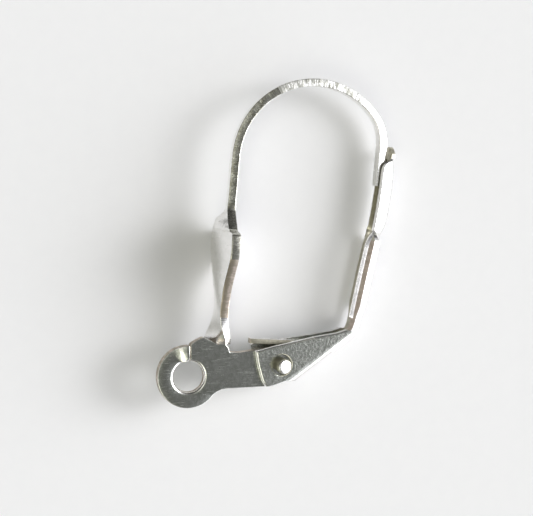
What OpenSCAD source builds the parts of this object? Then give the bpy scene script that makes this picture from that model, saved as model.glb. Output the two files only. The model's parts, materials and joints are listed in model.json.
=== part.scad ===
// Lever-back earring, closed and lying on its side, in millimetres.
// A stamped ear wire carries a domed shell, a twisted neck and a flat base
// with an open eye for a pendant. A stamped lever turns on a pin in the base
// and its gutter closes over the end of the wire.
//
// Every piece is drawn in a side view first: the pin's axis is the origin,
// X runs from the shell to the lever, Y runs up to the arch and Z comes
// towards the viewer. The last module lays that view on the surface.

/* [Ear wire] */
// Width of the wire across the ear
wire_w = 0.60; // [0.50:0.02:0.62]
// Thickness of the wire in the side view
wire_t = 0.45; // [0.40:0.01:0.45]
// Radius of the big arch, to the middle of the wire
arch_r = 4.63; // [4.55:0.01:4.65]
// Radius of the small bend that leads down to the lever
turn_r = 2.60; // [2.50:0.05:2.65]
// Length of the straight end that the lever holds
tail_l = 2.30; // [1.80:0.05:2.40]

/* [Shell and neck] */
// Thickness of the sheet that the shell is stamped from
sheet_t = 0.50; // [0.40:0.02:0.54]
// Lean of the shell away from the vertical, in degrees
leg_lean = 5.5; // [5.2:0.1:5.8]

/* [Base and eye] */
// Thickness of the base plate
plate_t = 0.56; // [0.46:0.02:0.56]
// Radius of the hole in the eye
eye_r = 0.88; // [0.70:0.02:0.90]
// Outer radius of the eye
eye_rim_r = 1.80; // [1.74:0.01:1.82]
// Width of the slit that opens the eye
slit_w = 0.10; // [0.06:0.02:0.14]
// Radius of the round end of the base that turns inside the lever
cam_r = 0.92; // [0.80:0.02:0.92]

/* [Lever] */
// Thickness of each ear of the lever
ear_t = 0.34; // [0.28:0.02:0.36]
// Gap between the base plate and each ear
ear_gap = 0.06; // [0.04:0.01:0.08]
// Thickness of the back of the lever, in the side view
back_t = 0.37; // [0.33:0.01:0.40]
// Half of the back's width at its slot
back_half_w = 1.00; // [0.90:0.01:1.04]
// Half of the slot's width
slot_half_w = 0.34; // [0.28:0.01:0.36]
// Half of the gutter's outer width
gutter_half_w = 0.58; // [0.58:0.01:0.64]
// Thickness of the gutter's walls
gutter_t = 0.24; // [0.18:0.01:0.24]
// Thickness of the spring tongue
tongue_t = 0.30; // [0.24:0.02:0.34]
// Half of the tongue's width
tongue_half_w = 0.25; // [0.20:0.01:0.26]

/* [Pin] */
// Radius of the pin
pin_r = 0.415; // [0.36:0.005:0.415]
// Length of the pin
pin_l = 2.90; // [2.20:0.05:3.00]
// Radius of the pin's hole in the base
pin_hole_r = 0.435; // [0.435:0.005:0.46]
// Radius of the oversize holes in the lever's ears
ear_hole_r = 0.62; // [0.55:0.01:0.64]

/* [Hidden] */
$fn = 64;

// Middle of the big arch, and the angles at which its two ends lie
arch_c = [2.05, 11.47];
arch_start = 180 - leg_lean;
arch_end = 35;
tail_lean = 5.5;

// Point at a radius and an angle from a centre
function polar(centre, r, a) = centre + r * [cos(a), sin(a)];

// Top of the straight leg that the shell hangs from
leg_top = polar(arch_c, arch_r, arch_start);
// Middle and end of the small bend
turn_c = polar(arch_c, arch_r - turn_r, arch_end);
tail_top = polar(turn_c, turn_r, -tail_lean);

// Sections of the stamped sheet, from the wire down to the base:
// distance down the leg, half width, bulge, turn in degrees, shift
sheet_rows = [
    [ 2.30, 0.30, 0.00,  0, 0.00],
    [ 2.98, 0.31, 0.00,  0, 0.00],
    [ 3.20, 0.40, 0.22,  0, 0.00],
    [ 3.42, 0.52, 0.52,  0, 0.00],
    [ 3.70, 0.68, 0.64,  0, 0.00],
    [ 3.96, 0.95, 0.68,  0, 0.00],
    [ 4.16, 1.75, 0.70,  0, 0.00],
    [ 4.50, 1.99, 0.69,  0, 0.00],
    [ 5.10, 2.04, 0.64,  0, 0.00],
    [ 5.70, 1.96, 0.55,  0, 0.00],
    [ 6.24, 1.68, 0.46,  0, 0.00],
    [ 6.80, 1.36, 0.38,  0, 0.00],
    [ 7.40, 1.06, 0.28,  0, 0.00],
    [ 8.10, 0.86, 0.14,  0, 0.00],
    [ 8.80, 0.78, 0.03,  0, 0.00],
    [ 9.30, 0.75, 0.00, 10, 0.02],
    [10.00, 0.75, 0.00, 45, 0.08],
    [10.70, 0.74, 0.00, 82, 0.13],
    [11.20, 0.72, 0.00, 90, 0.14]
];
DIST = 0;
HALF = 1;
BULGE = 2;
TURN = 3;
SHIFT = 4;
// Points across one face of a section, and sections between two rows
across = 10;
between = 3;

// Smooth curve through four values, at t between the middle two
function through(a, b, c, d, t) =
    b + 0.5 * t * (c - a + t * (2 * a - 5 * b + 4 * c - d + t * (3 * (b - c) + d - a)));
function row_near(i) = sheet_rows[max(0, min(len(sheet_rows) - 1, i))];
function section_row(i, t) =
    through(row_near(i - 1), row_near(i), row_near(i + 1), row_near(i + 2), t);

// One point of a section: face is -1 for the front and 1 for the back
function section_point(row, face, s) =
    let (n = face * sheet_t / 2 - row[BULGE] * (1 - s * s),
         z = row[HALF] * s,
         a = row[TURN])
    [n * cos(a) + z * sin(a) - row[SHIFT], -row[DIST], z * cos(a) - n * sin(a)];
function section(row) = concat(
    [for (i = [0 : across]) section_point(row, -1, 2 * i / across - 1)],
    [for (i = [0 : across]) section_point(row, 1, 1 - 2 * i / across)]);

// Solid skinned over sections that all have the same number of points, of
// which the first half runs along one face and the second half comes back
module skin(sections) {
    m = len(sections[0]);
    top = (len(sections) - 1) * m;
    sides = [for (r = [0 : m : top - m], i = [0 : m - 1])
        let (a = r + i, b = r + (i + 1) % m)
        each [[a, b, b + m], [a, b + m, a + m]]];
    caps = [for (i = [0 : m / 2 - 2])
        let (b = i + 1, c = m - 1 - i, d = m - 2 - i)
        each [[b, i, c], [b, c, d], [top + i, top + b, top + c], [top + b, top + d, top + c]]];
    polyhedron(points = [for (s = sections) each s], faces = concat(sides, caps), convexity = 6);
}

// Extrudes a side view to both sides of the middle plane
module to_width(w) {
    linear_extrude(height = w, center = true) children();
}

// Part of a ring of the wire's thickness between two angles
module bend(centre, r, a0, a1) {
    reach = 2 * r;
    mid = (a0 + a1) / 2;
    intersection() {
        translate(centre) difference() {
            circle(r + wire_t / 2);
            circle(r - wire_t / 2);
        }
        polygon([centre, polar(centre, reach, a0), polar(centre, 1.6 * reach, mid),
                 polar(centre, reach, a1)]);
    }
}

// Straight stretch of wire that starts at a point and runs down
module straight(top, lean, length) {
    translate(top) rotate(lean) translate([-wire_t / 2, -length])
        square([wire_t, length]);
}

// Side view of the wire, from the shell over the arch to its free end
module wire_view() {
    straight(leg_top, -leg_lean, sheet_rows[1][DIST]);
    bend(arch_c, arch_r, arch_end, arch_start);
    bend(turn_c, turn_r, -tail_lean, arch_end);
    straight(tail_top, -tail_lean, tail_l);
}

// Domed shell and the neck that turns its sheet into the plane of the base
module shell_and_neck() {
    rows = [for (i = [0 : len(sheet_rows) - 2], k = [0 : between - 1]) section_row(i, k / between)];
    translate([leg_top[0], leg_top[1], 0]) rotate([0, 0, -leg_lean])
        skin([for (row = concat(rows, [sheet_rows[len(sheet_rows) - 1]])) section(row)]);
}

// Middle of the eye, and the corners of the base round it, from the neck
// clockwise: the foot of the neck, the top edge, the stop face and the eye
eye_c = [-5.36, -0.49];
base_top = 0.86;
base_low = -1.28;
stop_x = -0.80;
neck_left = [-4.42, 1.98];
neck_right = [-2.98, 1.22];
slit_x = eye_c[0] + 0.03;
base_corners = [
    neck_left, neck_right, [-2.98, 0.82], [-2.40, 0.76], [-1.60, base_top],
    [-0.33, base_top], [0, 0], [stop_x, -0.40], [stop_x, base_low],
    [-3.20, base_low], [-3.62, base_low - 0.10], [-3.92, base_low - 0.34],
    eye_c, [slit_x, eye_c[1] + 1.74], [-5.17, 1.55], [-4.83, 1.84]
];

// Side view of the base plate
module base_view() {
    translate(eye_c) circle(eye_rim_r);
    polygon(base_corners);
    circle(cam_r);
}

module ear_wire() {
    color("silver") difference() {
        union() {
            to_width(wire_w) wire_view();
            shell_and_neck();
            to_width(plate_t) base_view();
        }
        translate([eye_c[0], eye_c[1], -plate_t]) cylinder(r = eye_r, h = 2 * plate_t);
        translate([0, 0, -plate_t]) cylinder(r = pin_hole_r, h = 2 * plate_t);
        translate([slit_x - slit_w / 2, eye_c[1] + eye_r / 2, -plate_t])
            cube([slit_w, eye_rim_r + eye_r, 2 * plate_t]);
    }
}

// Where the ears of the lever begin and end across its width
ear_in = plate_t / 2 + ear_gap;
ear_out = ear_in + ear_t;

// Foot of the lever: the web that joins the ears lies at a distance from the
// pin, along a slanting line, and starts short of the base's stop face
foot_a = 35;
foot_in = 1.00;
foot_out = foot_in + 0.33;
foot_start = 0.50;
foot_end = 4.15;
function on_foot(distance, along) =
    distance * [sin(foot_a), -cos(foot_a)] + along * [cos(foot_a), sin(foot_a)];

// Side view of an ear, from its top left corner clockwise
ear_corners = [
    [-1.53, 0.87], [-0.60, 1.08], [1.90, 1.54], [3.35, 1.72], [4.28, 2.02],
    [4.62, 2.02], [4.52, 1.72], on_foot(foot_out, foot_end),
    on_foot(foot_out, foot_start), [0.86, -0.97], [0.21, -1.02], [-0.48, -1.22],
    [-0.91, -1.25], [-1.15, -0.89], [-1.39, -0.04]
];

// Where the back starts to narrow into the gutter: height, place of its
// outer face
wide_until = 6.90;
wide_outer = 5.87;

// Back of the lever in the side view, from its foot to its lip:
// height, place of the inner face, thickness
back_rows = [
    [ 2.00, 4.34, back_t],
    [ 2.60, 4.48, back_t],
    [ 5.30, 5.09, back_t],
    [ 6.60, 5.41, back_t],
    [wide_until, wide_outer - back_t, back_t],
    [ 7.30, 5.70, 0.36],
    [ 7.70, 5.99, 0.33],
    [ 8.10, 6.16, 0.29],
    [ 8.70, 6.33, 0.25],
    [ 9.10, 6.44, gutter_t],
    [ 9.95, 6.55, gutter_t],
    [10.60, 6.61, gutter_t],
    [11.20, 6.65, gutter_t],
    [11.75, 6.68, gutter_t],
    [12.12, 6.72, gutter_t],
    [12.45, 6.80, gutter_t]
];
// Front view of the back: height, half width
width_rows = [
    [ 1.90, ear_out],
    [ 2.50, ear_out],
    [ 3.20, back_half_w - 0.02],
    [ 5.00, back_half_w],
    [wide_until, back_half_w],
    [ 7.30, 0.86],
    [ 7.70, 0.68],
    [ 8.00, gutter_half_w],
    [11.90, gutter_half_w],
    [12.15, 0.48],
    [12.35, 0.30],
    [12.47, 0.10]
];
slot_low = 2.45;
slot_high = 7.55;
// Free edge of the gutter's walls in the side view: height, place
rim_rows = [
    [ 6.60, 5.41],
    [ 7.20, 5.56],
    [ 7.90, 5.64],
    [ 8.70, 5.78],
    [ 9.50, 5.92],
    [10.80, 6.10],
    [11.15, 6.16],
    [11.35, 6.28],
    [11.55, 6.50]
];
// Highest point of the walls, where they run out into the lip
wall_tip = [6.80, 11.75];
// Middle line of the spring tongue, from its tip to its root in the back
tongue_line = [[-1.75, 1.40], [3.00, 1.02], [3.80, 1.22], [4.28, 1.72], [4.50, 2.30]];

function backwards(list) = [for (i = [len(list) - 1 : -1 : 0]) list[i]];
function unit(v) = v / norm(v);
// Sideways direction of a line of points at its point i
function side_at(line, i) =
    let (v = unit(line[min(i + 1, len(line) - 1)] - line[max(i - 1, 0)])) [-v[1], v[0]];
// Outline of a strip of thickness t along a line of points
function strip(line, t) = concat(
    [for (i = [0 : len(line) - 1]) line[i] + side_at(line, i) * t / 2],
    backwards([for (i = [0 : len(line) - 1]) line[i] - side_at(line, i) * t / 2]));
// Outer face of the back, up to a height
function back_outer(low, high) =
    [for (r = back_rows) if (r[0] >= low && r[0] <= high) [r[1] + r[2], r[0]]];

// Side view of the web under the ears, up to where the back begins
module foot_view() {
    polygon([on_foot(foot_in, foot_start), on_foot(foot_in, foot_end - 0.35), [4.29, 1.80],
             [4.36, 2.10], [4.73, 2.10], [4.62, 1.74], on_foot(foot_out, foot_end),
             on_foot(foot_out, foot_start)]);
}

// Side view of the back, from the foot to the lip
module back_view() {
    polygon(concat([for (r = back_rows) [r[1], r[0]]], backwards(back_outer(0, 20))));
}

// Side view of one wall of the gutter
module wall_view() {
    polygon(concat([for (r = rim_rows) [r[1], r[0]]], [wall_tip],
                   backwards(back_outer(6.6, 11.5))));
}

// Front view of the back, with the slot that the tongue was cut from
module back_front() {
    difference() {
        polygon(concat([for (r = width_rows) [r[1], r[0]]],
                       backwards([for (r = width_rows) [-r[1], r[0]]])));
        translate([-slot_half_w, slot_low])
            square([2 * slot_half_w, slot_high - slot_low]);
    }
}

// Puts a side view's extrusion on both sides, from one depth to another
module both_sides(inner, outer) {
    for (z = [inner, -outer])
        translate([0, 0, z]) linear_extrude(height = outer - inner) children();
}

module lever() {
    span = 2 * back_half_w + 1;
    color("gainsboro") difference() {
        union() {
            both_sides(ear_in, ear_out) polygon(ear_corners);
            to_width(2 * ear_out) foot_view();
            intersection() {
                to_width(span) back_view();
                rotate([0, 90, 0]) linear_extrude(height = 10) back_front();
            }
            both_sides(gutter_half_w - gutter_t, gutter_half_w) wall_view();
            to_width(2 * tongue_half_w) polygon(strip(tongue_line, tongue_t));
        }
        translate([0, 0, -ear_out - 1]) cylinder(r = ear_hole_r, h = 2 * ear_out + 2);
    }
}

module pivot_pin() {
    color("lightgray") cylinder(r = pin_r, h = pin_l, center = true);
}

// The three points that the closed piece lies on, in the side view's frame:
// the rim of the pin's far end, the far edge of the lever's back and the far
// shoulder of the shell
rest_pin_a = -12;
rest_pin = concat(polar([0, 0], pin_r, rest_pin_a), -pin_l / 2);
rest_back = [wide_outer, wide_until, -back_half_w];
rest_shell = [-2.80, 6.81, -2.04];
rest_n = unit(cross(rest_back - rest_pin, rest_shell - rest_pin));
// Place of the pin's axis from the middle of the piece as it lies
pin_place = [0.05, -7.015];

// Lays a piece on the surface, on those three points
module laid() {
    translate([pin_place[0], pin_place[1], -rest_n * rest_pin])
        rotate([atan2(rest_n[1], rest_n[2]), -asin(rest_n[0]), 0])
        children();
}

laid() ear_wire();
laid() lever();
laid() pivot_pin();
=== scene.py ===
# %% [markdown]
# A lever-back earring
#
# A lever-back is a small stamped fitting. Its wire runs from a domed shell over an
# arch, goes through the ear and ends in the gutter of a lever that shuts behind the
# lobe. Below the shell a twisted neck leads to a flat base with an open eye, in which
# a pendant can hang.
#
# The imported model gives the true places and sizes. This lesson dresses it: it builds
# the rounded, bevelled metal that the camera sees, and rides it on the same bodies.

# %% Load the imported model
import json
import math

import bmesh
import bpy
from mathutils import Matrix, Vector


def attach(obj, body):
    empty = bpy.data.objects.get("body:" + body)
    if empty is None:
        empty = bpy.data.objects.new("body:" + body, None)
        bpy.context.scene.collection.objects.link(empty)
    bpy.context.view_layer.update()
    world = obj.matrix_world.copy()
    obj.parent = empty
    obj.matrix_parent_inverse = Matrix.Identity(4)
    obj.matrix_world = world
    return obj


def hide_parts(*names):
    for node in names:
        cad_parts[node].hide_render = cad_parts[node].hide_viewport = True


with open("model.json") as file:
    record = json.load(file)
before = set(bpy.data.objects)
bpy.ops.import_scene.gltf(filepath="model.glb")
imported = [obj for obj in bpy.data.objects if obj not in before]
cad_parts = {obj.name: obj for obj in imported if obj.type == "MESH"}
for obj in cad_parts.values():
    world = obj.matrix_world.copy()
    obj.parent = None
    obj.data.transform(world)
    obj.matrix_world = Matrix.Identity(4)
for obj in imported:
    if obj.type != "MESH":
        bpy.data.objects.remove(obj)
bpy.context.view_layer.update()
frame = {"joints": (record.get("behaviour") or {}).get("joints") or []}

# %% [markdown]
# The side view
#
# The outlines of the wire, the base and the lever all lie in one plane, so they are
# easiest to model in a side view whose origin is the pin's axis: x runs to the lever,
# y up to the arch and z towards the viewer, in millimetres. The finished piece lies on
# its side and leans a little, because it rests on the pin, the shell and the lever.
# The hinge tells how much: its axis lies along the side view's z, so the frame itself
# gives the matrix that lays each mesh down.

# %% The matrix from the side view to the surface
MM = 0.001


def axes(x, y, z):
    """Matrix that turns the three axes into three directions."""
    return Matrix((x, y, z)).transposed().to_4x4()


hinge = frame["joints"][0]
side_z = -Vector(hinge["axis"]).normalized()
side_x = Vector((0, 1, 0)).cross(side_z).normalized()
side_turn = axes(side_x, side_z.cross(side_x), side_z)
lay_down = Matrix.Translation(hinge["pos_m"]) @ side_turn @ Matrix.Scale(MM, 4)
print("The side view leans by", round(math.degrees(side_z.angle((0, 0, 1))), 2), "degrees")

# %% [markdown]
# The camera
#
# The picture was taken from close by, a little from the left and from the side of the
# arch. A small object that is seen from 78 mm needs its true distance, because the
# near ear and the far ear would line up otherwise. The camera is placed in the side
# view too, so it keeps its angle to the metal and not to the surface. Blender clips
# what is nearer than 100 mm unless it is told otherwise.

# %% Camera
PICTURE_W = 533
# Pixels to a millimetre at the point that the camera looks at
SCALE_PX = 17.5
SENSOR_MM = 36
CLIP_FROM_M = 0.001
camera_at = Vector((-22.60, 12.77, 74.60))
camera_aim = Vector((-0.715, 6.112, 0))

camera_data = bpy.data.cameras.new("camera")
camera_data.sensor_width = SENSOR_MM
camera_data.lens = SENSOR_MM * SCALE_PX * (camera_at - camera_aim).length / PICTURE_W
camera_data.clip_start = CLIP_FROM_M
camera = bpy.data.objects.new("camera", camera_data)
bpy.context.scene.collection.objects.link(camera)
to_camera = (camera_at - camera_aim).normalized()
picture_right = Vector((0, 1, 0)).cross(to_camera).normalized()
look = axes(picture_right, to_camera.cross(picture_right), to_camera)
camera.matrix_world = Matrix.Translation(lay_down @ camera_at) @ side_turn @ look
bpy.context.scene.camera = camera
print("Lens:", round(camera_data.lens, 1), "mm")

# %% [markdown]
# Three effects for the metal
#
# The metal is silver-coloured plating on what is probably brass. It is bright where
# the sheet was rolled, and dull, brownish and striped where the die sheared it. A tool
# left bars on the top of the arch, the shoulder of the shell is darker, and
# the ears are dappled. Fine scratches cross everything. The same few effects come up
# on each piece with other strength, so each is a node group: scratches, a cloudy
# mottle, and the bars that a tool leaves across an edge. Pictures of metal would need
# a UV map on every piece. Noise on object coordinates needs none.

# %% Node helpers
def group(name, inputs, output):
    """New shader group; inputs are names with a default, output is its result's name."""
    tree = bpy.data.node_groups.new(name, "ShaderNodeTree")
    for label, default in inputs.items():
        socket = tree.interface.new_socket(label, in_out="INPUT", socket_type="NodeSocketFloat")
        socket.default_value = default
    tree.interface.new_socket(output, in_out="OUTPUT", socket_type="NodeSocketFloat")
    return tree, tree.nodes.new("NodeGroupInput"), tree.nodes.new("NodeGroupOutput")


def feed(tree, socket, value):
    """Links a socket to another one, or sets its number."""
    if isinstance(value, bpy.types.NodeSocket):
        tree.links.new(value, socket)
    else:
        socket.default_value = value


def math_node(tree, operation, *values):
    """Math node on sockets or numbers."""
    node = tree.nodes.new("ShaderNodeMath")
    node.operation = operation
    for socket, value in zip(node.inputs, values):
        feed(tree, socket, value)
    return node.outputs[0]


def ramp_node(tree, value, low, high, start=0.0, end=1.0):
    """Smooth step of a value from low to high, put out between start and end."""
    node = tree.nodes.new("ShaderNodeMapRange")
    node.interpolation_type = "SMOOTHSTEP"
    tree.links.new(value, node.inputs["Value"])
    for label, number in (("From Min", low), ("From Max", high), ("To Min", start), ("To Max", end)):
        node.inputs[label].default_value = number
    return node.outputs["Result"]


def noise_node(tree, vector, scale, detail, roughness=0.5):
    """Noise of a scale on a vector."""
    node = tree.nodes.new("ShaderNodeTexNoise")
    node.inputs["Detail"].default_value = detail
    node.inputs["Roughness"].default_value = roughness
    tree.links.new(vector, node.inputs["Vector"])
    feed(tree, node.inputs["Scale"], scale)
    return node.outputs["Fac"]


def millimetres(tree, turn=(0, 0, 0), stretch=(1, 1, 1)):
    """Object coordinates in millimetres, turned and stretched."""
    mapping = tree.nodes.new("ShaderNodeMapping")
    mapping.vector_type = "POINT"
    mapping.inputs["Rotation"].default_value = [math.radians(degrees) for degrees in turn]
    mapping.inputs["Scale"].default_value = [factor / MM for factor in stretch]
    place = tree.nodes.new("ShaderNodeTexCoord")
    tree.links.new(place.outputs["Object"], mapping.inputs["Vector"])
    return mapping.outputs["Vector"]


# %% Scratches
# Turn of the lines in degrees, how close they lie, and a tilt that tells the sets apart
SCRATCH_SETS = ((20, 26, 0), (-55, 20, 7), (75, 30, 15))
scratches, _, scratch_out = group("scratches", {}, "Line")
lines = None
for turn, closeness, tilt in SCRATCH_SETS:
    stretched = millimetres(scratches, (tilt, 0, turn), (0.9, closeness, 0.9))
    crests = ramp_node(scratches, noise_node(scratches, stretched, 1.0, 3), 0.60, 0.68)
    # Whole patches of the metal have no scratches of this set
    patch_noise = noise_node(scratches, millimetres(scratches, (0, tilt, 0)), 1.4, 1)
    line = math_node(scratches, "MULTIPLY", crests, ramp_node(scratches, patch_noise, 0.45, 0.62))
    lines = line if lines is None else math_node(scratches, "MAXIMUM", lines, line)
scratches.links.new(lines, scratch_out.inputs["Line"])
print("Scratches run in", len(SCRATCH_SETS), "directions")

# %% Mottle
mottle, mottle_in, mottle_out = group("mottle", {"Size": 3.0}, "Cloud")
cloud_noise = noise_node(mottle, millimetres(mottle), mottle_in.outputs["Size"], 4, 0.6)
mottle.links.new(cloud_noise, mottle_out.inputs["Cloud"])
print("The mottle has", len(mottle.nodes), "nodes")

# %% Bars across a struck or sheared edge
# The noise changes fast along the strip and slowly across it, so it makes bars
bars, bars_in, bars_out = group("bars", {"Pitch": 6.0}, "Bar")
path = bars.nodes.new("ShaderNodeAttribute")
path.attribute_name = "along"
line_up = bars.nodes.new("ShaderNodeCombineXYZ")
bars.links.new(path.outputs["Fac"], line_up.inputs["X"])
bars.links.new(noise_node(bars, millimetres(bars), 1.5, 2), line_up.inputs["Y"])
bar_noise = noise_node(bars, line_up.outputs["Vector"], bars_in.outputs["Pitch"], 3, 0.65)
bars.links.new(bar_noise, bars_out.inputs["Bar"])
print("The bars have", len(bars.nodes), "nodes")

# %% [markdown]
# The finishes
#
# A finish is a Principled BSDF with full metal. The mottle and the bars dull its
# colour, the mottle and the scratches raise its roughness, and all three tip its
# normal through a Bump node, because on polished metal the eye sees reflections and
# not paint. Their depths are in micrometres, so the deepest bars, on the arch, are a
# few hundredths of a millimetre. One function makes all the finishes, and each is a
# line of values.

# %% Parts of a finish
def effect(tree, source, **values):
    """Places a node group in a material with its own values."""
    node = tree.nodes.new("ShaderNodeGroup")
    node.node_tree = source
    for label, value in values.items():
        node.inputs[label].default_value = value
    return node.outputs[0]


def weighted_sum(tree, *terms):
    """Sum of sockets, each times its weight."""
    total = None
    for value, weight in terms:
        term = math_node(tree, "MULTIPLY", value, weight)
        total = term if total is None else math_node(tree, "ADD", total, term)
    return total


def colour_between(tree, share, first, second):
    """Colour that goes from a first to a second with a share."""
    mix = tree.nodes.new("ShaderNodeMix")
    mix.data_type = "RGBA"
    mix.inputs["A"].default_value = (*first, 1)
    mix.inputs["B"].default_value = (*second, 1)
    tree.links.new(share, mix.inputs["Factor"])
    return mix.outputs["Result"]


def bumped(tree, height, metres):
    """Normal that is tipped by a height; metres is what a height of 1 stands for."""
    bump = tree.nodes.new("ShaderNodeBump")
    bump.inputs["Distance"].default_value = metres
    tree.links.new(height, bump.inputs["Height"])
    return bump.outputs["Normal"]


# %% Finishes
MICROMETRE = 1e-6
# Roughness that clouds and scratches add
ROUGH_BY = 0.10
# Share of the dull colour that a cloud or a bar brings
DULLED = 0.6
# Half the depth over which the two halves of a sheared edge blend
SPLIT_BLEND = 0.05
METALS = []


def finish(name, bright, dull, roughness, cloud, bar, scratch, pitch=6.0, size=3.0, split=0):
    """Adds a metal finish and returns its number; split dulls the outer half of an edge."""
    material = bpy.data.materials.new(name)
    material.use_nodes = True
    tree = material.node_tree
    shader = tree.nodes["Principled BSDF"]
    shader.inputs["Metallic"].default_value = 1.0
    clouds = effect(tree, mottle, Size=size)
    stripes = effect(tree, bars, Pitch=pitch)
    marks = effect(tree, scratches)

    worn = math_node(tree, "ADD", ramp_node(tree, clouds, 0.38, 0.68, 0, DULLED),
                     ramp_node(tree, stripes, 0.42, 0.62, 0, DULLED if bar else 0))
    depth = tree.nodes.new("ShaderNodeAttribute")
    depth.attribute_name = "section_n"
    halves = ramp_node(tree, depth.outputs["Fac"], -SPLIT_BLEND, SPLIT_BLEND, 0, split)
    colour = colour_between(tree, math_node(tree, "ADD", worn, halves), bright, dull)
    tree.links.new(colour, shader.inputs["Base Color"])

    rough = weighted_sum(tree, (clouds, ROUGH_BY), (marks, ROUGH_BY))
    tree.links.new(math_node(tree, "ADD", rough, roughness - ROUGH_BY / 2),
                   shader.inputs["Roughness"])
    height = weighted_sum(tree, (clouds, cloud), (stripes, bar), (marks, -scratch))
    tree.links.new(bumped(tree, height, MICROMETRE), shader.inputs["Normal"])
    METALS.append(material)
    return len(METALS) - 1


# Bright and dull colour, roughness, then the depths of clouds, bars and scratches
ROLLED = finish("rolled_plating", (0.91, 0.90, 0.88), (0.80, 0.80, 0.77), 0.20, 10, 0, 0.4)
PLATE = finish("plate_face", (0.66, 0.68, 0.63), (0.38, 0.40, 0.35), 0.20, 9, 0, 0.2, size=4.0)
DAPPLED = finish("dappled_face", (0.68, 0.70, 0.65), (0.38, 0.40, 0.35), 0.22, 18, 0, 0.3, size=6.0)
STRUCK = finish("struck_wire", (0.68, 0.68, 0.63), (0.42, 0.41, 0.34), 0.21, 10, 44, 0.5, pitch=2.4)
MARKED = finish("marked_arch", (0.86, 0.86, 0.84), (0.34, 0.34, 0.30), 0.46, 8, 60, 0.5, pitch=5.0)
# Darker colour for the long edges on the shoulder of the shell
DARK_SHOULDER = finish("dark_shoulder", (0.50, 0.50, 0.45), (0.24, 0.23, 0.19), 0.26, 9, 0, 1, size=5.0)
SHEARED = finish("sheared_edge", (0.72, 0.63, 0.56), (0.42, 0.37, 0.29), 0.36, 8, 10, 1, pitch=9.0,
                 split=0.7)
BRIGHT = finish("bright_end", (0.90, 0.89, 0.87), (0.80, 0.79, 0.76), 0.20, 6, 0, 1)
# Dull olive colour for inner faces, the tongue's broad faces, the pin's sides and the lip: painted
# shade
SHADED_INSIDE = finish("inside_painted_shade", (0.54, 0.52, 0.42), (0.35, 0.32, 0.25), 0.34, 12, 0, 1, size=5.0)
# Brown colour with real hatching for the near rail's inner face, darkened in part as painted shade
RAIL = finish("brown_rail", (0.64, 0.55, 0.47), (0.42, 0.34, 0.27), 0.36, 12, 20, 1, pitch=7.0)
print("Finishes:", len(METALS))

# %% [markdown]
# The ear wire: wire, shell and neck
#
# The maker stamps one strip: narrow for the wire, wide for the shell, narrow again for
# the neck. So one section can run the whole way. It starts as a small grid, wider than
# it is thick, with rounded corners, and is extruded up the straight end, spun round
# the small bend and the big arch, and extruded down the leg. Each vertex remembers
# where it lies in the section, in two layers, and how far along the strip it is. The
# rows of the leg are then opened into the shell and turned into the neck by a table.
# The neck ends in a crease on the base after 42 degrees, before it has turned flat. A
# loft between hand-made rings would give the same form with much more bookkeeping.

# %% Points and curves of the side view
def polar(centre, radius, degrees):
    """Point at a radius and an angle round a centre of the side view."""
    angle = math.radians(degrees)
    return Vector((centre[0] + radius * math.cos(angle), centre[1] + radius * math.sin(angle), 0))


def smooth_step(value, low, high):
    """0 below low, 1 above high and an even S between them."""
    share = min(1, max(0, (value - low) / (high - low)))
    return share * share * (3 - 2 * share)


def through(a, b, c, d, t):
    """Smooth curve through b and c, with a and d as their neighbours."""
    return b + 0.5 * t * (c - a + t * (2 * a - 5 * b + 4 * c - d + t * (3 * (b - c) + d - a)))


# %% Growing a bar from its end
def only(geometry, kind):
    """The elements of one kind in what an operator returned."""
    return [element for element in geometry if isinstance(element, kind)]


def extrude_end(bm, end, move):
    """Extrudes the end of a bar by a move, and returns the new end."""
    end = bmesh.ops.extrude_face_region(bm, geom=end)["geom"]
    bmesh.ops.translate(bm, verts=only(end, bmesh.types.BMVert), vec=move)
    return end


def spin_end(bm, end, centre, degrees, steps=1):
    """Spins the end of a bar round a centre of the side view, and returns the new end."""
    return bmesh.ops.spin(bm, geom=end, cent=(centre[0], centre[1], 0), axis=(0, 0, 1),
                          angle=math.radians(degrees), steps=steps,
                          use_merge=False, use_duplicate=False)["geom_last"]


# %% Sizes of the strip
WIRE_W = 0.60
WIRE_T = 0.45
CORNER_R = 0.06
# The sheared edges of the strip and of the back lean a little
FACE_LEAN = math.tan(math.radians(10))
ARCH_C = (2.05, 11.47)
ARCH_R = 4.63
LEG_LEAN = 5.5
ARCH_START = 180 - LEG_LEAN
ARCH_END = 35
TURN_R = 2.60
TAIL_LEAN = 5.5
TAIL_L = 2.24
SHEET_T = 0.50
ACROSS = 14
TAIL_STEPS = 8
TURN_STEPS = 10
ARCH_STEPS = 48
LEG_STEPS = 8
# Distance down the leg, half width, bulge, turn in degrees, shift
SHEET_ROWS = [
    (2.30, 0.30, 0.00, 0, 0.00), (2.95, 0.31, 0.02, 0, 0.00), (3.25, 0.50, 0.22, 0, 0.00),
    (3.55, 0.74, 0.52, 0, 0.00), (3.85, 0.98, 0.62, 0, 0.00), (4.13, 1.22, 0.66, 0, 0.00),
    (4.28, 1.84, 0.66, 0, 0.00), (4.52, 1.99, 0.64, 0, 0.00), (5.10, 2.04, 0.60, 0, 0.00),
    (5.70, 1.96, 0.53, 0, 0.00), (6.24, 1.68, 0.45, 0, 0.00), (6.80, 1.36, 0.38, 0, 0.00),
    (7.40, 1.06, 0.28, 0, 0.00), (8.10, 0.86, 0.14, 0, 0.00), (8.80, 0.78, 0.03, 0, 0.00),
    (9.50, 0.76, 0.00, 9, 0.02), (10.00, 0.78, 0.00, 23, 0.05), (10.35, 0.80, 0.00, 35, 0.07),
    (10.62, 0.78, 0.00, 42, 0.08)]
# Rings to each row of the table
BETWEEN = 5
leg_top = polar(ARCH_C, ARCH_R, ARCH_START)
turn_c = polar(ARCH_C, ARCH_R - TURN_R, ARCH_END)
tail_top = polar(turn_c, TURN_R, -TAIL_LEAN)
print("The small bend's centre:", [round(c, 2) for c in turn_c.xy])

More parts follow.
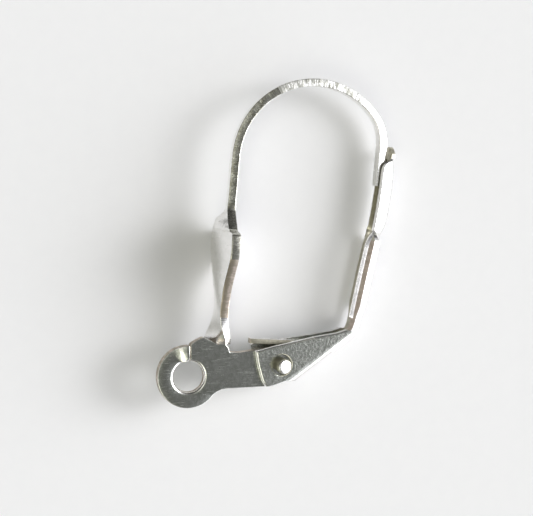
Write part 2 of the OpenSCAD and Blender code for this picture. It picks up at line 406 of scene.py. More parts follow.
# %% Section at the end of the wire
tail_turn = Matrix.Rotation(math.radians(-TAIL_LEAN), 3, "Z")
tail_way = tail_turn @ Vector((0, 1, 0))

strip = bmesh.new()
layer_n = strip.verts.layers.float.new("section_n")
layer_z = strip.verts.layers.float.new("section_z")
layer_along = strip.verts.layers.float.new("along")
bmesh.ops.create_grid(strip, x_segments=ACROSS, y_segments=1, size=0.5,
                      matrix=Matrix.Diagonal((WIRE_W, WIRE_T, 1, 1)))
corners = [v for v in strip.verts if abs(v.co.x) > WIRE_W / 2 - CORNER_R / 2]
bmesh.ops.bevel(strip, geom=corners, offset=CORNER_R, segments=3, profile=0.5,
                affect="VERTICES", material=-1, clamp_overlap=False)
for v in strip.verts:
    v[layer_n] = v.co.y
    v[layer_z] = v.co.x
    if v.co.x > 0:
        v.co.x -= FACE_LEAN * (v.co.y + WIRE_T / 2) * v.co.x / (WIRE_W / 2)
# The grid's x becomes the side view's z, and its y points away from the arch's centre
stand = axes(Vector((0, 0, 1)), tail_turn @ Vector((1, 0, 0)), tail_way)
bmesh.ops.transform(strip, matrix=Matrix.Translation(tail_top - TAIL_L * tail_way) @ stand,
                    verts=strip.verts[:])
print("The section has", len(strip.verts), "vertices")


# %% Extrude and spin the strip
def add_length(end, length):
    """Notes how much farther along the strip a new end lies than the one before it."""
    for v in only(end, bmesh.types.BMVert):
        v[layer_along] += length


def straight(end, way, length):
    """Extrudes the end of the strip along a direction."""
    end = extrude_end(strip, end, way * length)
    add_length(end, length)
    return end


def bend(end, centre, radius, degrees, steps):
    """Spins the end of the strip round a centre, one ring at a time."""
    for _ in range(steps):
        end = spin_end(strip, end, centre, degrees / steps)
        add_length(end, math.radians(degrees) * radius / steps)
    return end


end = strip.faces[:] + strip.edges[:] + strip.verts[:]
for _ in range(TAIL_STEPS):
    end = straight(end, tail_way, TAIL_L / TAIL_STEPS)
end = bend(end, turn_c, TURN_R, ARCH_END + TAIL_LEAN, TURN_STEPS)
end = bend(end, ARCH_C, ARCH_R, ARCH_START - ARCH_END, ARCH_STEPS)

leg = Matrix.Translation(leg_top) @ Matrix.Rotation(math.radians(-LEG_LEAN), 4, "Z")
leg_way = -leg.col[1].to_3d()
reached = SHEET_ROWS[0][0]
for _ in range(LEG_STEPS):
    end = straight(end, leg_way, reached / LEG_STEPS)

rings = []
for i, (low, high) in enumerate(zip(SHEET_ROWS, SHEET_ROWS[1:])):
    before = SHEET_ROWS[max(0, i - 1)]
    after = SHEET_ROWS[min(len(SHEET_ROWS) - 1, i + 2)]
    for k in range(1, BETWEEN + 1):
        row = [through(*values, k / BETWEEN) for values in zip(before, low, high, after)]
        end = straight(end, leg_way, row[0] - reached)
        rings.append((row, only(end, bmesh.types.BMVert)))
        reached = row[0]
print("The shell and the neck have", len(rings), "rings")

# %% Open the shell and turn the neck
# Stretch of the leg over which the wire's section becomes the sheet's
OPENS_FROM = 2.3
OPENS_BY = 3.1
# The shoulder of the shell is straighter across than the bowl below it
SHOULDER_POWER = 1.25
BOWL_POWER = 2.0
SHOULDER_UNTIL = 3.8
BOWL_FROM = 4.9


def spread(value, half_from, half_to):
    """Widens a section between its corners, which keep their round."""
    edge = half_from - CORNER_R
    if abs(value) <= edge:
        return value * (half_to - CORNER_R) / edge
    return math.copysign(half_to - (half_from - abs(value)), value)


for (distance, half, bulge, turn, shift), ring in rings:
    opened = smooth_step(distance, OPENS_FROM, OPENS_BY)
    thick = WIRE_T + (SHEET_T - WIRE_T) * opened
    in_bowl = smooth_step(distance, SHOULDER_UNTIL, BOWL_FROM)
    power = SHOULDER_POWER + (BOWL_POWER - SHOULDER_POWER) * in_bowl
    angle = math.radians(turn)
    for v in ring:
        z = spread(v[layer_z], WIRE_W / 2, half)
        # The layer points away from the arch's middle, which is to the left on this leg
        x = -spread(v[layer_n], WIRE_T / 2, thick / 2)
        lean = FACE_LEAN * (thick / 2 - x) * max(0, z / half) * (1 - opened)
        bulged = x - bulge * (1 - abs(z / half) ** power)
        v.co = leg @ Vector((bulged * math.cos(angle) + z * math.sin(angle) - shift, -distance,
                             (z - lean) * math.cos(angle) - x * math.sin(angle)))
# The end of the wire is a little thicker towards the inside
TAIL_PRESS = 0.08
for v in strip.verts:
    if v[layer_n] < 0:
        v.co.x -= TAIL_PRESS * (1 - smooth_step(v[layer_along], TAIL_L, 2 * TAIL_L))
bmesh.ops.recalc_face_normals(strip, faces=strip.faces[:])
print("The shell is", round(2 * max(half for _, half, *_ in SHEET_ROWS), 2), "mm wide")

# %% [markdown]
# What each stretch of the strip looks like
#
# The flat faces of the strip came off the rolls. Its two long edges didn't: they were
# cut, and then marked on the arch and struck down to the shoulder. They are darker on
# the shoulder, and were left brown beside the shell. Only near both ends of the strip
# are they as bright as the faces. A noise mask would put such changes anywhere. The
# length that each vertex remembers puts them where they belong.

# %% Finishes of the strip
# Places on the arch in degrees, and down the leg in millimetres
MARKED_FROM = 50
STRUCK_FROM = 117
DARK_SHOULDER_FROM = 2.90
SHEARED_FROM = 5.65
PLATED_FROM = 9.15
# Share of the corners' round that goes with the edge
ROUND_SHARE = 0.7
arch_starts = TAIL_L + math.radians(ARCH_END + TAIL_LEAN) * TURN_R
leg_starts = arch_starts + math.radians(ARCH_START - ARCH_END) * ARCH_R
stretches = ((arch_starts + math.radians(MARKED_FROM - ARCH_END) * ARCH_R, MARKED),
             (arch_starts + math.radians(STRUCK_FROM - ARCH_END) * ARCH_R, STRUCK),
             (leg_starts + DARK_SHOULDER_FROM, DARK_SHOULDER), (leg_starts + SHEARED_FROM, SHEARED),
             (leg_starts + PLATED_FROM, ROLLED))


def on_long_edge(face):
    """Whether a face belongs to one of the two long edges of the strip."""
    return all(abs(abs(v[layer_z]) - WIRE_W / 2) < ROUND_SHARE * CORNER_R for v in face.verts)


for face in strip.faces:
    face.material_index = ROLLED
    place = sum(v[layer_along] for v in face.verts) / len(face.verts)
    for start, material in stretches:
        if place > start and on_long_edge(face):
            face.material_index = material
print("The strip is", round(max(v[layer_along] for v in strip.verts), 1), "mm long")


# %% Make an object of it
def as_object(name, bm, materials=METALS):
    """Object from a bmesh, with the materials that its faces number."""
    mesh = bpy.data.meshes.new(name)
    bm.to_mesh(mesh)
    bm.free()
    for material in materials:
        mesh.materials.append(material)
    piece = bpy.data.objects.new(name, mesh)
    bpy.context.scene.collection.objects.link(piece)
    return piece


ear_wire = as_object("ear_wire_metal", strip)
print("The strip has", len(ear_wire.data.polygons), "faces")

# %% [markdown]
# The base and its eye
#
# The base is a flat blank: an arm that ends in a round nose for the pin, and an eye
# whose ring is open so that a pendant can be hung in it. The arm is one outline,
# extruded. The ring isn't part of that outline: it is spun from the arm's own cut
# face, which gives clean quads that can be bevelled deep round the hole, and bent up
# at the free end, which stands a little proud.

# %% Outlines, plates and edges
def points(*pairs):
    """Points of the side view."""
    return [Vector((x, y, 0)) for x, y in pairs]


def arc(centre, radius, start, end, steps):
    """Points along an arc, both ends included."""
    return [polar(centre, radius, start + (end - start) * i / steps) for i in range(steps + 1)]


def plate(outline, low, high):
    """Flat plate with an outline of points, between two depths."""
    bm = bmesh.new()
    face = bm.faces.new([bm.verts.new((p[0], p[1], low)) for p in outline])
    extrude_end(bm, [face], (0, 0, high - low))
    bmesh.ops.recalc_face_normals(bm, faces=bm.faces[:])
    return bm


# An edge at which the surface turns by more degrees than this is sharp
SHARP_TURN = 40


def sharp_edges(bm):
    """Sharp edges that stand outwards."""
    return [e for e in bm.edges if e.is_convex and e.calc_face_angle(0) > math.radians(SHARP_TURN)]


def round_edges(bm, edges, offset, segments):
    """Rounds edges, and lets the round run over small faces beside them."""
    bmesh.ops.bevel(bm, geom=edges, offset=offset, segments=segments, profile=0.5,
                    affect="EDGES", material=-1, clamp_overlap=False, loop_slide=False)


# %% Sizes of the base
PLATE_T = 0.56
EYE_C = (-5.36, -0.49)
EYE_R = 0.88
EYE_RIM_R = 1.80
EYE_BEVEL = 0.20
RIM_BEVEL = 0.05
SLIT_HALF = 0.05
SLIT_X = EYE_C[0] + 0.05
# Height of the arm beside the slit, above the eye's middle
SLIT_TOP = 1.76
CAM_R = 0.92
NOSE_STEPS = 26
BASE_TOP = 0.86
BASE_LOW = -1.28
STOP_X = -0.80
PIN_HOLE_R = 0.435
# The ring runs round the eye between these angles
RING_FROM = -37
RING_TO = -271
RING_STEPS = 34
HOLE_STEPS = 20


def angle_at(radius, x):
    """Angle at which a circle round the eye's middle passes an x, above the middle."""
    return math.degrees(math.acos((x - EYE_C[0]) / radius))


print("The eye's hole is", 2 * EYE_R, "mm wide")

# %% Outline of the arm
nose_top = math.degrees(math.asin(BASE_TOP / CAM_R))
nose_low = math.degrees(math.acos(STOP_X / CAM_R))
arm = points((SLIT_X + SLIT_HALF, EYE_C[1] + SLIT_TOP), (-5.17, 1.40), (-4.83, 1.59), (-4.48, 1.72),
             (-4.05, 1.52), (-3.64, 1.27), (-3.30, 1.36), (-3.04, 1.12), (-2.96, 0.82),
             (-2.40, 0.77), (-1.60, BASE_TOP))
arm += arc((0, 0), CAM_R, 180 - nose_top, -nose_low, NOSE_STEPS)
arm += points((STOP_X, BASE_LOW), (-3.10, BASE_LOW), (-3.45, BASE_LOW - 0.04),
              (-3.72, BASE_LOW - 0.16))
arm += [polar(EYE_C, EYE_RIM_R, RING_FROM)]
arm += arc(EYE_C, EYE_R, RING_FROM, angle_at(EYE_R, SLIT_X + SLIT_HALF), HOLE_STEPS)
blank = plate(arm, -PLATE_T / 2, PLATE_T / 2)
print("The arm's outline has", len(arm), "points")

# %% Ring of the eye, spun from the arm's end
ring_start = polar(EYE_C, (EYE_R + EYE_RIM_R) / 2, RING_FROM)
cut_face = min(blank.faces, key=lambda f: (f.calc_center_median() - ring_start).length)
end = [cut_face] + list(cut_face.edges) + list(cut_face.verts)
ring_rows = []
for _ in range(RING_STEPS):
    end = spin_end(blank, end, EYE_C, (RING_TO - RING_FROM) / RING_STEPS)
    ring_rows.append(only(end, bmesh.types.BMVert))
# The last rows rise, so the free end stands a little proud
BENT_ROWS = 5
BENT_UP = 0.20
for i, row in enumerate(ring_rows[-BENT_ROWS:], 1):
    bmesh.ops.translate(blank, verts=row, vec=(0, 0, BENT_UP * smooth_step(i, 0, BENT_ROWS)))
bmesh.ops.recalc_face_normals(blank, faces=blank.faces[:])
print("The eye's ring has", len(ring_rows), "segments")

# %% Bevel the eye deep and the other rims lightly
# How far from its circle an edge of the hole may lie, and how much it may rise
HOLE_CLOSE = 0.02
HOLE_LEVEL = 0.05
# A face lies flat where its normal's z is above the first, and stands where it is below the second
FLAT = 0.95
UPRIGHT = 0.3


def on_eye(edge):
    """Whether an edge lies on the wall of the eye's hole and runs round it."""
    far = [(v.co.xy - Vector(EYE_C)).length for v in edge.verts]
    rises = abs(edge.verts[0].co.z - edge.verts[1].co.z)
    return max(abs(r - EYE_R) for r in far) < HOLE_CLOSE and rises < HOLE_LEVEL


round_edges(blank, [e for e in sharp_edges(blank) if not on_eye(e)], RIM_BEVEL, segments=3)
round_edges(blank, [e for e in sharp_edges(blank) if on_eye(e)], EYE_BEVEL, segments=5)
for face in blank.faces:
    face.material_index = ROLLED
    if abs(face.normal.z) > FLAT:
        face.material_index = PLATE
    elif abs(face.normal.z) < UPRIGHT:
        face.material_index = SHEARED
print("The base has", len(blank.faces), "faces")

# %% [markdown]
# Joining and laying down
#
# The real ear wire is one piece of metal, so strip and base become one mesh. Exact
# booleans join and cut without a gap. Their modifiers are settled at once, so every
# later step works on a plain mesh, and a tool can be removed as soon as it has cut.
# Weighted normals keep the large flat faces flat beside their small bevels.

# %% Join, cut and lay down
# Edges that turn by more degrees than this stay sharp in the shading
SHADE_TURN = 32


def settle(piece):
    """Makes the result of a piece's modifiers its own mesh."""
    graph = bpy.context.evaluated_depsgraph_get()
    result = bpy.data.meshes.new_from_object(piece.evaluated_get(graph))
    piece.modifiers.clear()
    piece.data = result


def combine(piece, other, operation):
    """Adds, cuts or intersects a piece with another, which is used up."""
    step = piece.modifiers.new("combine", "BOOLEAN")
    step.operation = operation
    step.solver = "EXACT"
    step.object = other
    settle(piece)
    bpy.data.objects.remove(other)


def lay(piece, body, *nodes):
    """Lays a finished piece down, smooths it and rides it on its body."""
    piece.data.transform(lay_down)
    piece.data.shade_smooth()
    piece.data.set_sharp_from_angle(angle=math.radians(SHADE_TURN))
    flat = piece.modifiers.new("flat", "WEIGHTED_NORMAL")
    flat.keep_sharp = True
    settle(piece)
    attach(piece, body)
    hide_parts(*nodes)
    print(piece.name, "has", len(piece.data.polygons), "faces")


# %% The finished ear wire
def rod(radius, length, segments=48):
    """Round rod about the pin's axis."""
    bm = bmesh.new()
    bmesh.ops.create_cone(bm, cap_ends=True, segments=segments, radius1=radius,
                          radius2=radius, depth=length)
    return bm


base = as_object("base", blank)
combine(base, as_object("pin_hole", rod(PIN_HOLE_R, 2 * PLATE_T)), "DIFFERENCE")
combine(ear_wire, base, "UNION")
lay(ear_wire, "root", "ear_wire")

# %% [markdown]
# The lever's channel
#
# The lever is folded from one sheet. Its foot is a channel: two ears with a web under
# them. A box without its top and ends, with its two long edges bevelled and then made
# solid inwards, is that channel with true folds. The ears' outline is cut afterwards
# with one intersection, as the blank's outline was cut by the die, and two smaller
# cuts lower the near ear and shorten the web. Bent plates would have to be fitted to
# one another at every fold.

# %% Sizes of the lever's foot
EAR_IN = 0.34
EAR_OUT = 0.68
FOLD_R = 0.40
FOLD_SEGMENTS = 8
EAR_HOLE_R = 0.62
# Slope of the web, and how far its outer face lies from the pin's axis
FOOT_A = 35
FOOT_OUT = 1.33
# The web's start and end along the foot
FOOT_START = 0.50
FOOT_END = 4.15
CHANNEL_L = 12.0
CHANNEL_H = 6.0
# Middle of the uncut channel along the foot
CHANNEL_MID = 1.5
foot_down = Vector((math.sin(math.radians(FOOT_A)), -math.cos(math.radians(FOOT_A)), 0))
foot_way = Vector((math.cos(math.radians(FOOT_A)), math.sin(math.radians(FOOT_A)), 0))


def on_foot(distance, along):
    """Point at a distance from the pin's axis and a length along the foot."""
    return distance * foot_down + along * foot_way


print("The lever's foot is", round(EAR_OUT - EAR_IN, 2), "mm thick")

# %% Channel
# A normal with more than this along an axis faces that way
MOSTLY = 0.5
box = bmesh.new()
bmesh.ops.create_cube(box, size=1)
bmesh.ops.delete(box, context="FACES",
                 geom=[f for f in box.faces if f.normal.y > MOSTLY or abs(f.normal.x) > MOSTLY])
channel_middle = on_foot(FOOT_OUT - CHANNEL_H / 2, CHANNEL_MID)
channel_size = Matrix.Diagonal((CHANNEL_L, CHANNEL_H, 2 * EAR_OUT, 1))
channel_frame = axes(foot_way, -foot_down, Vector((0, 0, 1)))
bmesh.ops.transform(box, verts=box.verts[:],
                    matrix=Matrix.Translation(channel_middle) @ channel_frame @ channel_size)
round_edges(box, [e for e in box.edges if e.is_manifold], FOLD_R, FOLD_SEGMENTS)
bmesh.ops.recalc_face_normals(box, faces=box.faces[:])
lever = as_object("lever_metal", box)
sheet = lever.modifiers.new("sheet", "SOLIDIFY")
sheet.thickness = EAR_OUT - EAR_IN
sheet.offset = -1
sheet.use_even_offset = True
settle(lever)
print("The channel has", len(lever.data.polygons), "faces")

# %% Cut the ears, the web and the holes
# Cutting tools reach at least this far to both sides
CUT_REACH = 1
# The outline passes this far below the web, turns up to its end this far before it,
# and comes back up this far before its start
BELOW_WEB = 0.3
BEFORE_END = 0.5
BEFORE_START = 0.02
ear_outline = points((-1.58, 1.13), (-0.60, 1.27), (1.90, 1.54), (3.35, 1.72), (3.90, 1.87),
                     (4.16, 1.86), (4.34, 1.62))
ear_outline += [on_foot(FOOT_OUT, FOOT_END), on_foot(FOOT_OUT + BELOW_WEB, FOOT_END - BEFORE_END),
                on_foot(FOOT_OUT + BELOW_WEB, FOOT_START),
                on_foot(FOOT_OUT, FOOT_START - BEFORE_START)]
ear_outline += points((0.86, -0.97), (0.21, -1.02), (-0.48, -1.22), (-0.91, -1.25), (-1.15, -0.89),
                      (-1.39, -0.04))
combine(lever, as_object("ear_outline", plate(ear_outline, -CUT_REACH, CUT_REACH)), "INTERSECT")
# The near ear is cut lower than the far one
NEAR_FROM = 0.1
near_top = points((-1.75, 0.82), (-0.60, 1.08), (1.90, 1.53), (1.90, 1.80), (-1.75, 1.80))
combine(lever, as_object("near_top", plate(near_top, NEAR_FROM, CUT_REACH)), "DIFFERENCE")
# The web starts short of the ears' corner, or it would meet the base's stop face. The
# corners of this cut are given by distance from the pin's axis and length along the foot
WEB_CUT = ((0.8, FOOT_START), (0.8, -1), (1.7, -1), (1.7, FOOT_START))
before_web = plate([on_foot(*place) for place in WEB_CUT], -EAR_IN, EAR_IN)
combine(lever, as_object("before_web", before_web), "DIFFERENCE")
combine(lever, as_object("ear_holes", rod(EAR_HOLE_R, 3 * CUT_REACH)), "DIFFERENCE")
print("The cut channel has", len(lever.data.polygons), "faces")

# %% Round the rims of the ears
EAR_BEVEL = 0.045
# The near ear's outer rim is rounder
NEAR_ROLL = 0.13
MERGE_WITHIN = 0.0005
# Beyond this x the back joins on, so edges stay as they are
BEVEL_UNTIL = 4.2
# Farther out than this is the outer half of an ear, and higher up is its top
EAR_OUTSIDE = 0.5
EAR_TOP = 0.5
HOLE_MARGIN = 0.1


def ear_rims(bm):
    """Sharp edges of the ears."""
    return [e for e in sharp_edges(bm) if max(v.co.x for v in e.verts) < BEVEL_UNTIL]


bm = bmesh.new()
bm.from_mesh(lever.data)
bmesh.ops.remove_doubles(bm, verts=bm.verts[:], dist=MERGE_WITHIN)
near_rim = [e for e in ear_rims(bm)
            if min(v.co.z for v in e.verts) > EAR_OUTSIDE
            and min(v.co.xy.length for v in e.verts) > EAR_HOLE_R + HOLE_MARGIN]
round_edges(bm, near_rim, NEAR_ROLL, segments=4)
other_rims = [e for e in ear_rims(bm)
              if min(abs(v.co.z) for v in e.verts) > EAR_OUTSIDE
              or min(v.co.y for v in e.verts) > EAR_TOP]
round_edges(bm, other_rims, EAR_BEVEL, segments=3)
for face in bm.faces:
    face.material_index = DAPPLED if abs(face.normal.z) > FLAT else ROLLED
bm.to_mesh(lever.data)
bm.free()
print("Rounded", len(near_rim), "edges of the near ear")

# %% [markdown]
# The lever's back
#
# From the web the sheet bends up into the back. Low down it is a flat strip with a
# long slot, and higher up its edges are folded forward into a gutter that holds the
# end of the wire, with a small lip flared out at the top. One grid makes all of it:
# its rows go up the back, its columns across, and a function folds each row as much
# as a table says. The slot is a block of faces that is left out. The grid is then
# extruded once, and the same function places the new layer on the inner side. Solidify
# would be quicker, but it gives one thickness, and the gutter was drawn thinner.

# %% Rows of the back
# Height, place of the outer face, where the fold starts across, fold in degrees, wall
BACK_ROWS = [
    (0.60, 3.10, 0.36, 0, 0.30), (1.00, 3.72, 0.36, 0, 0.30), (1.40, 4.26, 0.36, 0, 0.30),
    (1.72, 4.58, 0.36, 0, 0.30), (2.10, 4.73, 0.37, 0, 0.30), (2.60, 4.85, 0.40, 0, 0.30),
    (3.20, 4.98, 0.68, 0, 0.30), (5.00, 5.39, 0.70, 0, 0.30), (6.60, 5.78, 0.70, 0, 0.30),
    (6.85, 5.86, 0.68, 0, 0.30), (7.05, 5.95, 0.46, 15, 0.33), (7.28, 6.08, 0.24, 35, 0.42),
    (7.55, 6.27, 0.15, 62, 0.54), (7.85, 6.41, 0.21, 78, 0.56), (8.80, 6.62, 0.23, 80, 0.58),
    (9.95, 6.81, 0.23, 80, 0.58), (10.80, 6.89, 0.23, 80, 0.56), (11.15, 6.91, 0.23, 80, 0.52),
    (11.40, 6.91, 0.20, 72, 0.46), (11.65, 6.91, 0.16, 52, 0.38), (11.90, 6.90, 0.19, 27, 0.31),
    (12.15, 6.90, 0.24, 8, 0.30), (12.42, 6.93, 0.25, 0, 0.30)]
BACK_LOW = BACK_ROWS[0][0]
BACK_HIGH = BACK_ROWS[-1][0]
# The sheet thins from the slotted strip to the gutter between these heights
BACK_T = 0.36
GUTTER_T = 0.24
THICK_UNTIL = 6.9
THIN_FROM = 8.0
# Radius inside the folds
FOLD_IN = 0.03
SLOT_HALF = 0.34
SLOT_LOW = 2.45
SLOT_HIGH = 7.64
# The slot was cut a little off the middle, and the gutter above it wasn't
SLOT_OFF = -0.12
OFF_UNTIL = 6.6
CENTRED_FROM = 7.3
SIDE_COLUMNS = 7
SLOT_COLUMNS = 4
ROW_STEP = 0.12
# Width of the outermost column, which leaves room for the rolled rim
EDGE_STRIP = 0.07
# The corners of the lip lie lower than its middle and flare outwards
LIP_FROM = 11.35
LIP_DROP = 0.46
LIP_FLARE = 0.02
LIP_HALF = 0.55
print("The back is", round(BACK_HIGH - BACK_LOW, 2), "mm high")


# %% How a row of the back is folded
def along_table(rows, key, column):
    """Value of a column of a table at a key, on straight lines between its rows."""
    for low, high in zip(rows, rows[1:]):
        if key <= high[0]:
            break
    share = min(1, max(0, (key - low[0]) / (high[0] - low[0])))
    return low[column] + (high[column] - low[column]) * share


def thickness(height):
    """Thickness of the back, thinner where the die drew it into the gutter."""
    return BACK_T + (GUTTER_T - BACK_T) * smooth_step(height, THICK_UNTIL, THIN_FROM)


columns = 2 * SIDE_COLUMNS + SLOT_COLUMNS
slot_share = SLOT_COLUMNS / columns
# Half the height over which the slope of the back is measured
SLOPE_STEP = 0.1
# A share from which a vertex belongs to the rim
AT_RIM = 0.999


def folded(side, height, depth_in):
    """Place in the sheet: side is -1 to 1 across, depth_in goes inwards from the outer face."""
    outer, start, fold, wall = (along_table(BACK_ROWS, height, c) for c in range(1, 5))
    fold = math.radians(fold)
    radius = thickness(height) + FOLD_IN
    slot_z = min(SLOT_HALF, start)
    share = abs(side)
    beyond = max(0, share - slot_share) / (1 - slot_share)
    # Way across the sheet from the slot's edge to the rim
    length = start - slot_z + radius * fold + wall
    inner_columns = min(1, beyond * SIDE_COLUMNS / (SIDE_COLUMNS - 1))
    path = inner_columns * (length - EDGE_STRIP) + (EDGE_STRIP if beyond > AT_RIM else 0)
    # From here on the path counts from where the fold starts
    path -= start - slot_z
    turned = min(fold, max(0, path / radius))
    past = max(0, path - radius * fold)
    x = outer - radius * (1 - math.cos(turned)) - past * math.sin(fold)
    z = min(share / slot_share, 1) * slot_z if share <= slot_share else start + min(path, 0)
    z += radius * math.sin(turned) + past * math.cos(fold)
    rise = (along_table(BACK_ROWS, height + SLOPE_STEP, 1)
            - along_table(BACK_ROWS, height - SLOPE_STEP, 1))
    inward = Vector((-2 * SLOPE_STEP, rise, 0)).normalized() * depth_in * math.cos(turned)
    lean = beyond * FACE_LEAN * (depth_in - thickness(height)) * math.cos(turned)
    lip = smooth_step(height, LIP_FROM, BACK_HIGH) * (z / LIP_HALF) ** 2
    z = math.copysign(z + lean - depth_in * math.sin(turned), side)
    z += SLOT_OFF * (1 - beyond) * (1 - smooth_step(height, OFF_UNTIL, CENTRED_FROM))
    return Vector((x + inward.x + LIP_FLARE * lip, height + inward.y - LIP_DROP * lip, z))


print("The back's grid has", columns, "columns")

# %% Grid of the back, with its slot
SLOT_MARGIN = 0.01
back = bmesh.new()
layer_side = back.verts.layers.float.new("side")
layer_along = back.verts.layers.float.new("along")
bmesh.ops.create_grid(back, x_segments=columns, size=1,
                      y_segments=round((BACK_HIGH - BACK_LOW) / ROW_STEP))
for v in back.verts:
    v[layer_side] = v.co.x
    v[layer_along] = BACK_LOW + (BACK_HIGH - BACK_LOW) * (v.co.y + 1) / 2
    v.co = folded(v[layer_side], v[layer_along], 0)
slot_faces = [f for f in back.faces
              if max(abs(v[layer_side]) for v in f.verts) < slot_share + SLOT_MARGIN
              and SLOT_LOW < f.calc_center_median().y < SLOT_HIGH]
print("The slot leaves out", len(slot_faces), "faces")
bmesh.ops.delete(back, geom=slot_faces, context="FACES")

# %% Thickness and rolled rims of the back
ROLL_R = 0.035
# Beyond this share of the far side the slotted strip's inside keeps the bright plating colour,
# without painted shade
FAR_EDGE = -0.80
FAR_EDGE_TOP = 7.2
# The inside gets the olive painted shade above this height, and below it on the far rail
INSIDE_SHADE_FROM = 7.0
# Above this height the whole lip, inside and out, gets the olive painted shade although the light
# falls on it
LIP_SHADE_FROM = 11.75
rim = [e for e in back.edges if e.is_boundary]
inner = bmesh.ops.extrude_face_region(back, geom=back.faces[:], use_keep_orig=True)
inner_verts = set(only(inner["geom"], bmesh.types.BMVert))
for v in inner_verts:
    v.co = folded(v[layer_side], v[layer_along], thickness(v[layer_along]))
bmesh.ops.recalc_face_normals(back, faces=back.faces[:])
for face in back.faces:
    face.material_index = ROLLED
    height = face.calc_center_median().y
    side = sum(v[layer_side] for v in face.verts) / len(face.verts)
    on_far_edge = side < FAR_EDGE and height < FAR_EDGE_TOP
    # Inner faces get painted shade: olive, and brown on the near rail low down
    if all(v in inner_verts for v in face.verts) and not on_far_edge:
        face.material_index = SHADED_INSIDE if height > INSIDE_SHADE_FROM or side < 0 else RAIL
round_edges(back, rim, ROLL_R, segments=3)
# Painted shade over the top of the lip
for face in back.faces:
    if face.calc_center_median().y > LIP_SHADE_FROM:
        face.material_index = SHADED_INSIDE
print("The back has", len(back.faces), "faces")

# %% [markdown]
# The spring tongue
#
# The tongue was cut from the slot and bent forward. In the real thing it presses on
# the round nose of the base and snaps the lever shut. Here it stays a hair clear of
# it. One small section, extruded from the tip and spun through the bend, makes it. A
# curve with a bevel object would do as well, but takes a second object for the section.

# %% Tongue
TONGUE_T = 0.30
TONGUE_W = 0.50
TONGUE_TIP = Vector((-1.75, 1.40, 0))
TONGUE_BEND = Vector((3.00, 1.02, 0))
TONGUE_R = 1.42
TONGUE_TURN = 82
TONGUE_STEPS = 12
TONGUE_BEND_STEPS = 14
TONGUE_BEVEL = 0.04
tongue = bmesh.new()
tongue_way = (TONGUE_BEND - TONGUE_TIP).normalized()
across_way = Vector((-tongue_way.y, tongue_way.x, 0))
section = (Matrix.Translation(TONGUE_TIP) @ axes(across_way, Vector((0, 0, 1)), tongue_way)
           @ Matrix.Diagonal((TONGUE_T, TONGUE_W, 1, 1)))
bmesh.ops.create_grid(tongue, x_segments=1, y_segments=1, size=0.5, matrix=section)
end = tongue.faces[:] + tongue.edges[:] + tongue.verts[:]
for _ in range(TONGUE_STEPS):
    end = extrude_end(tongue, end, (TONGUE_BEND - TONGUE_TIP) / TONGUE_STEPS)
spin_end(tongue, end, TONGUE_BEND + TONGUE_R * across_way, TONGUE_TURN, TONGUE_BEND_STEPS)
bmesh.ops.recalc_face_normals(tongue, faces=tongue.faces[:])
# The tongue's broad faces get the olive painted shade; its edges stay bright and its tip is sheared
for face in tongue.faces:
    face.material_index = SHADED_INSIDE if abs(face.normal.z) > FLAT else BRIGHT
    if face.normal.dot(tongue_way) < -FLAT:
        face.material_index = SHEARED
round_edges(tongue, sharp_edges(tongue), TONGUE_BEVEL, segments=3)
print("The tongue has", len(tongue.faces), "faces")

# %% The finished lever
combine(lever, as_object("back", back), "UNION")
combine(lever, as_object("tongue", tongue), "UNION")
lay(lever, "lever", "lever")

# %% [markdown]
# The pin
#
# The pin is a piece of wire with rounded rims, cut off a little askew. Its near end
# leans towards the strongest light and shines. A cylinder with two bevelled rims is
# enough, and moving its near vertices down along a slope gives the askew cut.

# %% Pin
PIN_R = 0.415
PIN_L = 2.90
PIN_BEVEL = 0.12
CUT_LEAN = math.tan(math.radians(12))
# The two ends of an edge of a rim lie at the same height within this
LEVEL_WITHIN = 0.01
pin = rod(PIN_R, PIN_L, segments=64)
rims = [e for e in pin.edges if abs(e.verts[0].co.z - e.verts[1].co.z) < LEVEL_WITHIN]
round_edges(pin, rims, PIN_BEVEL, segments=5)
for v in pin.verts:
    if v.co.z > 0:
        v.co.z -= CUT_LEAN * (v.co.x + PIN_R)
# The near end keeps the bright plating; the round sides get the olive painted shade
for face in pin.faces:
    face.material_index = BRIGHT if face.normal.z > MOSTLY else SHADED_INSIDE
lay(as_object("pin_metal", pin), "root", "pivot_pin")

# %% [markdown]
# The paper
#
# The earring lies on white paper, which fills the picture and throws light back up at
# the metal. One large face is enough, with a faint cloudy tint and a bump of a few
# micrometres, so that it isn't quite even.

# %% Paper
FLOOR_HALF_M = 1.0
PAPER_ROUGHNESS = 0.75
PAPER_SHINE = 0.25
FIBRE_DEPTH = 6 * MICROMETRE
PAPER_COLOURS = ((0.83, 0.83, 0.84), (0.86, 0.86, 0.865))
floor_bm = bmesh.new()
bmesh.ops.create_grid(floor_bm, x_segments=1, y_segments=1, size=FLOOR_HALF_M)
paper = bpy.data.materials.new("paper")
paper.use_nodes = True
tree = paper.node_tree
shader = tree.nodes["Principled BSDF"]
shader.inputs["Roughness"].default_value = PAPER_ROUGHNESS
shader.inputs["Specular IOR Level"].default_value = PAPER_SHINE
fibre = noise_node(tree, millimetres(tree), 1.2, 5, 0.6)
tree.links.new(colour_between(tree, fibre, *PAPER_COLOURS), shader.inputs["Base Color"])
tree.links.new(bumped(tree, fibre, FIBRE_DEPTH), shader.inputs["Normal"])
floor = as_object("paper", floor_bm, [paper])
print("The paper is", 2 * FLOOR_HALF_M, "m wide")

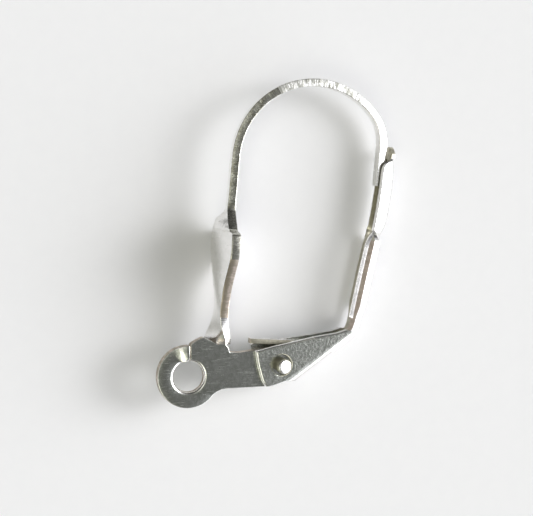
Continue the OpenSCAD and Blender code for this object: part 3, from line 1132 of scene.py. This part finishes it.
# %% [markdown]
# The light
#
# The room has no lamps. Its light is six soft patches on a dark background: a strong
# one on the right, two wide and low ones on the right, and three weaker ones on the
# left, one of them almost overhead. They give white reflections with soft ends, and
# the soft shadows that fall to the left. Area lamps would do this too, but their
# outlines would show in the polished faces. The rest of the room is dark, so the faces
# that look straight up stay grey.

# %% Light
ROOM_COLOUR = (0.07, 0.07, 0.068)
# Azimuth and elevation in degrees, how narrow the patch is, strength, colour
GLOWS = ((9, 33, 40, 12.8, (0.98, 0.98, 1.0)), (2, 14, 10, 4.2, (0.96, 0.96, 1.0)),
         (324, 5, 10, 3.7, (0.93, 0.94, 1.0)), (230, 53, 22, 2.6, (1.0, 1.0, 0.87)),
         (135, 70, 22, 1.1, (1.0, 1.0, 0.90)), (186, 28, 26, 1.0, (1.0, 1.0, 0.97)))
world = bpy.data.worlds.new("room")
bpy.context.scene.world = world
world.use_nodes = True
tree = world.node_tree
way = tree.nodes.new("ShaderNodeTexCoord").outputs["Generated"]


def glow(azimuth, elevation, narrowness, strength, colour):
    """Soft patch of light in the room, brightest in one direction."""
    turn, lift = math.radians(azimuth), math.radians(elevation)
    dot = tree.nodes.new("ShaderNodeVectorMath")
    dot.operation = "DOT_PRODUCT"
    dot.inputs[1].default_value = (math.cos(turn) * math.cos(lift), math.sin(turn) * math.cos(lift),
                                   math.sin(lift))
    tree.links.new(way, dot.inputs[0])
    away = math_node(tree, "SUBTRACT", dot.outputs["Value"], 1.0)
    fall = math_node(tree, "EXPONENT", math_node(tree, "MULTIPLY", away, narrowness))
    patch = tree.nodes.new("ShaderNodeBackground")
    patch.inputs["Color"].default_value = (*colour, 1)
    tree.links.new(math_node(tree, "MULTIPLY", fall, strength), patch.inputs["Strength"])
    return patch.outputs["Background"]


room = tree.nodes["Background"]
room.inputs["Color"].default_value = (*ROOM_COLOUR, 1)
light = room.outputs["Background"]
for values in GLOWS:
    both = tree.nodes.new("ShaderNodeAddShader")
    tree.links.new(light, both.inputs[0])
    tree.links.new(glow(*values), both.inputs[1])
    light = both.outputs["Shader"]
tree.links.new(light, tree.nodes["World Output"].inputs["Surface"])
bpy.context.scene.view_settings.view_transform = "Standard"
bpy.context.scene.view_settings.look = "Medium Contrast"
print("Patches of light:", len(GLOWS))
